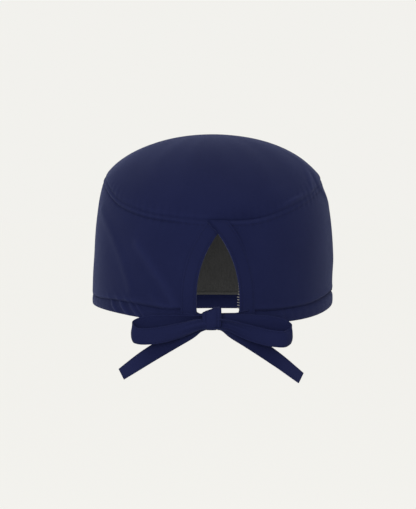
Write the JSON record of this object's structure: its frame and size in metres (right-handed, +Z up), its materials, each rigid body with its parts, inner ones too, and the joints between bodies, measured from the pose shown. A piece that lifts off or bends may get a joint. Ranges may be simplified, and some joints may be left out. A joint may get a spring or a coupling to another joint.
{
  "type": "scrub cap",
  "caption": "Cloth surgical scrub cap with an oval crown panel, a wrap-round band, a keyhole opening at the back and a flat tie fastened in a bow.",
  "frame": {"origin": "inside of the crown at its highest point, where the top of the wearer's head touches", "axes": "+Z up, +Y towards the wearer's face, +X towards the wearer's right; the keyhole and the bow are at -Y"},
  "size_m": [0.1783, 0.2193, 0.175],
  "materials": {
    "navy_twill": "matt stretch twill with a soft sheen",
    "tie_tape": "matt folded twill tape, stitched along both edges",
    "knit_lining": "matt dark grey ribbed knit",
    "lining_edge": "matt grey turned edge",
    "overlock_thread": "spun polyester thread"
  },
  "bodies": {
    "root": {"crown_panel": "navy_twill", "side_band": "navy_twill", "keyhole_facing_left": "navy_twill", "keyhole_facing_right": "navy_twill", "hem_casing": "navy_twill", "front_lining": "knit_lining", "lining_edge": "lining_edge", "tie_strand_left": "tie_tape", "tie_loop_left": "tie_tape", "tie_tail_left": "tie_tape", "tie_strand_right": "tie_tape", "tie_loop_right": "tie_tape", "tie_tail_right": "tie_tape", "tie_knot": "tie_tape"}
  },
  "joints": []
}
